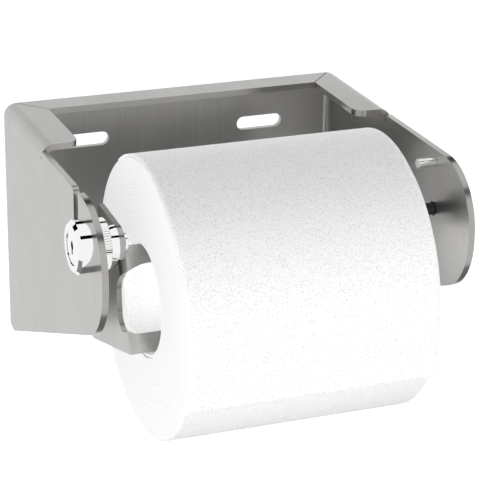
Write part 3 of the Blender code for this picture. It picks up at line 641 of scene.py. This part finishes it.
class HOLDER_OT_roll(bpy.types.Operator):
    """Wind the roll and finish its core"""

    bl_idname = "holder.roll"
    bl_label = "Roll"

    def execute(self, context):
        colours = context.scene.holder_colours
        # Embossed tissue, wound: matt white, with dots that a real one has closer together, and a shade
        # greyer than the free sheet as painted shade on the roll
        tissue = embossed_tissue("embossed_tissue", colours.winding, colours.speckle)
        # Cut ends of wound tissue: faint rings, coarser than the layers, which are too thin to show
        ends = wound_layers("wound_tissue_ends", colours.tissue, colours.layer, ROLL_AXIS)
        # White card: matt, with hardly a fibre to be seen
        card = embossed_tissue("white_card", colours.card, colours.fibre)
        start = ROLL_LOW.x + SHOULDER
        flat = ROLL_RADIUS - SHOULDER
        bore = CORE_RADIUS + CORE_PLAY
        rounding = [math.pi / 2 * step / SHOULDER_STEPS for step in range(SHOULDER_STEPS + 1)]
        left = [
            (start - SHOULDER * math.cos(turn), flat + SHOULDER * math.sin(turn)) for turn in rounding
        ]
        right = [(ROLL_LOW.x + ROLL_HIGH.x - x, radius) for x, radius in reversed(left)]
        profile = [(ROLL_LOW.x, bore), *left, *right, (ROLL_HIGH.x, bore)]
        roll = linked(turned_ring(profile, ROLL_AXIS), "wound_paper")
        roll.data.materials.append(tissue)
        roll.data.materials.append(ends)
        for face in roll.data.polygons:
            face.material_index = 1 if abs(face.normal.x) > END_FACING else 0
        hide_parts("paper_roll")
        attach(roll, "roll")
        dressed("core_tube", "white_core", (card,), 0)
        return {"FINISHED"}


class HOLDER_OT_sheet(bpy.types.Operator):
    """Hang the free sheet over the roll's front"""

    bl_idname = "holder.sheet"
    bl_label = "Sheet"

    def execute(self, context):
        colours = context.scene.holder_colours
        # Embossed tissue, hanging: a shade whiter than the winding, which is the same paper painted greyer
        # as shade
        tissue = embossed_tissue("hanging_tissue", colours.tissue, colours.speckle)
        radius = ROLL_RADIUS + SHEET_LIFT
        drop = ROLL_AXIS.z - TAIL_LOW.z
        length = radius * SHEET_WRAP + drop
        width = TAIL_HIGH.x - TAIL_LOW.x
        sheet = bmesh.new()
        bmesh.ops.create_grid(sheet, x_segments=SHEET_COLUMNS, y_segments=SHEET_ROWS, size=0.5)
        shift = ROLL_LOW.x - TAIL_LOW.x
        for vert in sheet.verts:
            run = (vert.co.y + 0.5) * length
            left = smooth_share(run, length, drop + radius * FRONT_TURN)
            x = TAIL_LOW.x + shift * (1 - left) + (vert.co.x + 0.5) * width
            if run < drop:
                vert.co = Vector((x, ROLL_AXIS.y - radius, TAIL_LOW.z + run))
            else:
                turn = (run - drop) / radius
                near = radius - SINK * (1 - smooth_share(run, length, length - radius * SINK_TURN))
                vert.co = Vector((
                    x, ROLL_AXIS.y - near * math.cos(turn), ROLL_AXIS.z + near * math.sin(turn),
                ))
        bmesh.ops.recalc_face_normals(sheet, faces=sheet.faces)
        piece = linked(sheet, "hanging_sheet", SHEET_SHARP_TURN)
        piece.data.materials.append(tissue)
        wall = piece.modifiers.new("thickness", "SOLIDIFY")
        wall.thickness = SHEET_THICKNESS
        wall.offset = 1.0
        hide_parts("paper_tail")
        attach(piece, "sheet")
        return {"FINISHED"}


class HOLDER_OT_stage(bpy.types.Operator):
    """Set the floor, the lamps, the reflecting cards and the camera"""

    bl_idname = "holder.stage"
    bl_label = "Studio"

    def execute(self, context):
        add_floor()
        add_world()
        for name, (place, level, shadow) in LAMPS.items():
            add_lamp(name, place, level, shadow)
        for name, (place, width, tone) in CARDS.items():
            add_card(name, place, width * MM, tone)
        add_camera()
        context.scene.view_settings.view_transform = "Standard"
        return {"FINISHED"}


def add_floor():
    """Lay a pale painted floor below the part, matt, and white to the camera and the metal."""
    floor = bmesh.new()
    bmesh.ops.create_grid(floor, x_segments=1, y_segments=1, size=FLOOR_SIZE)
    bmesh.ops.translate(floor, verts=floor.verts, vec=(0, 0, -FLOOR_DROP))
    piece = linked(floor, "studio_floor")
    material, tree, shader = new_material("pale_floor")
    shader.inputs["Base Color"].default_value = linear(FLOOR_COLOUR)
    shader.inputs["Roughness"].default_value = FLOOR_ROUGHNESS
    path = add_node(tree, "ShaderNodeLightPath")
    mirrored = add_node(
        tree, "ShaderNodeMath", {"operation": "MAXIMUM"},
        links={0: path.outputs["Is Glossy Ray"], 1: path.outputs["Is Transmission Ray"]},
    )
    white = add_node(tree, "ShaderNodeEmission", inputs={"Color": linear(WHITE), "Strength": 1.0})
    glow = add_node(
        tree, "ShaderNodeEmission", inputs={"Color": linear(WHITE), "Strength": FLOOR_GLOW},
    )
    lit = add_node(
        tree, "ShaderNodeAddShader", links={0: shader.outputs[0], 1: glow.outputs[0]},
    )
    direct = add_node(
        tree, "ShaderNodeMixShader",
        links={0: path.outputs["Is Camera Ray"], 1: shader.outputs[0], 2: lit.outputs[0]},
    )
    mixed = add_node(
        tree, "ShaderNodeMixShader",
        links={0: mirrored.outputs[0], 1: direct.outputs[0], 2: white.outputs[0]},
    )
    tree.links.new(mixed.outputs[0], tree.nodes["Material Output"].inputs["Surface"])
    piece.data.materials.append(material)


def add_world():
    """Light the room evenly and show it white."""
    world = bpy.data.worlds.new("studio")
    world.use_nodes = True
    bpy.context.scene.world = world
    tree = world.node_tree
    ground = tree.nodes["Background"]
    ground.inputs["Color"].default_value = linear(WHITE)
    path = add_node(tree, "ShaderNodeLightPath")
    direct = add_node(
        tree, "ShaderNodeMath", {"operation": "MAXIMUM"},
        links={0: path.outputs["Is Camera Ray"], 1: path.outputs["Is Glossy Ray"]},
    )
    seen = add_node(
        tree, "ShaderNodeMath", {"operation": "MAXIMUM"},
        links={0: direct.outputs[0], 1: path.outputs["Is Transmission Ray"]},
    )
    strength = add_node(
        tree, "ShaderNodeMapRange", inputs={"To Min": ROOM_LIGHT, "To Max": 1.0},
        links={"Value": seen.outputs[0]},
    )
    tree.links.new(strength.outputs[0], ground.inputs["Strength"])


def facing_part(place):
    """Return the matrix of something at a place, in millimetres, that faces the part."""
    spot = Vector(place) * MM
    away = PART_MIDDLE - spot
    return Matrix.Translation(spot) @ away.to_track_quat("-Z", "X").to_matrix().to_4x4()


def add_lamp(name, place, level, shadow):
    """Add a soft lamp that lights white paper to a level, and leaves the metal to the room."""
    light = bpy.data.lights.new(name, "AREA")
    light.size = LAMP_SIZE
    light.use_shadow = shadow
    lamp = bpy.data.objects.new(name, light)
    bpy.context.scene.collection.objects.link(lamp)
    lamp.matrix_world = facing_part(place)
    lamp.visible_glossy = False
    distance = (lamp.matrix_world.translation - PART_MIDDLE).length
    light.energy = level * (math.pi * distance) ** 2


def add_card(name, place, width, tone):
    """Hang a long card that only the metal sees: black, or grey that glows though it is no lamp, as a
    painted reflection in the metal.
    """
    card = bmesh.new()
    bmesh.ops.create_grid(card, x_segments=1, y_segments=1, size=0.5)
    bmesh.ops.scale(card, vec=(CARD_LENGTH, width, 1), verts=card.verts)
    spot = Vector(place) * MM
    away = PART_MIDDLE - Vector((0, spot.y, spot.z))
    tilt = Matrix.Rotation(math.atan2(away.z, away.y) - math.pi / 2, 4, "X")
    bmesh.ops.transform(card, matrix=Matrix.Translation(spot) @ tilt, verts=card.verts)
    piece = linked(card, name)
    material, tree, shader = new_material("dark_" + name)
    shader.inputs["Base Color"].default_value = linear(BLACK)
    shader.inputs["Roughness"].default_value = 1.0
    shader.inputs["Specular IOR Level"].default_value = 0.0
    shader.inputs["Emission Color"].default_value = linear(tone)
    shader.inputs["Emission Strength"].default_value = 1.0
    piece.data.materials.append(material)
    piece.visible_camera = False
    piece.visible_diffuse = False
    piece.visible_transmission = False
    piece.visible_shadow = False


def add_camera():
    """Place the camera where the photograph was taken from."""
    level = math.cos(CAMERA_ELEVATION)
    ahead = Vector((
        level * math.sin(CAMERA_AZIMUTH), level * math.cos(CAMERA_AZIMUTH), -math.sin(CAMERA_ELEVATION),
    ))
    side = ahead.cross(Vector((0, 0, 1))).normalized()
    up = side.cross(ahead)
    right = side * math.cos(CAMERA_ROLL) + up * math.sin(CAMERA_ROLL)
    top = up * math.cos(CAMERA_ROLL) - side * math.sin(CAMERA_ROLL)
    turn = Matrix((right, top, -ahead)).transposed().to_4x4()
    lens = bpy.data.cameras.new("camera")
    lens.sensor_width = SENSOR_WIDTH
    lens.lens = FOCAL_PIXELS / IMAGE_WIDTH * SENSOR_WIDTH
    lens.clip_start = CAMERA_NEAR
    camera = bpy.data.objects.new("camera", lens)
    bpy.context.scene.collection.objects.link(camera)
    camera.matrix_world = Matrix.Translation(Vector(CAMERA_PLACE) * MM) @ turn
    bpy.context.scene.camera = camera


class HOLDER_PT_panel(bpy.types.Panel):
    """List the steps that finish the holder"""

    bl_idname = "HOLDER_PT_panel"
    bl_label = "Toilet Roll Holder"
    bl_space_type = "VIEW_3D"
    bl_region_type = "UI"
    bl_category = "Holder"

    def draw(self, context):
        layout = self.layout
        for step in STEPS:
            layout.operator(step.bl_idname)
        for group in (context.scene.holder_sizes, context.scene.holder_colours):
            box = layout.box()
            for name in group.__annotations__:
                box.prop(group, name)


STEPS = (HOLDER_OT_stage, HOLDER_OT_steel, HOLDER_OT_lock, HOLDER_OT_roll, HOLDER_OT_sheet)
CLASSES = (HolderSizes, HolderColours, *STEPS, HOLDER_PT_panel)


def register():
    """Register the classes and hang their settings on the scene."""
    for item in CLASSES:
        bpy.utils.register_class(item)
    bpy.types.Scene.holder_sizes = bpy.props.PointerProperty(type=HolderSizes)
    bpy.types.Scene.holder_colours = bpy.props.PointerProperty(type=HolderColours)


def unregister():
    """Take the settings and the classes away again."""
    del bpy.types.Scene.holder_colours
    del bpy.types.Scene.holder_sizes
    for item in reversed(CLASSES):
        bpy.utils.unregister_class(item)


def main():
    """Finish the holder."""
    register()
    bpy.ops.holder.stage()
    bpy.ops.holder.steel()
    bpy.ops.holder.lock()
    bpy.ops.holder.roll()
    bpy.ops.holder.sheet()


if __name__ == "__main__":
    main()
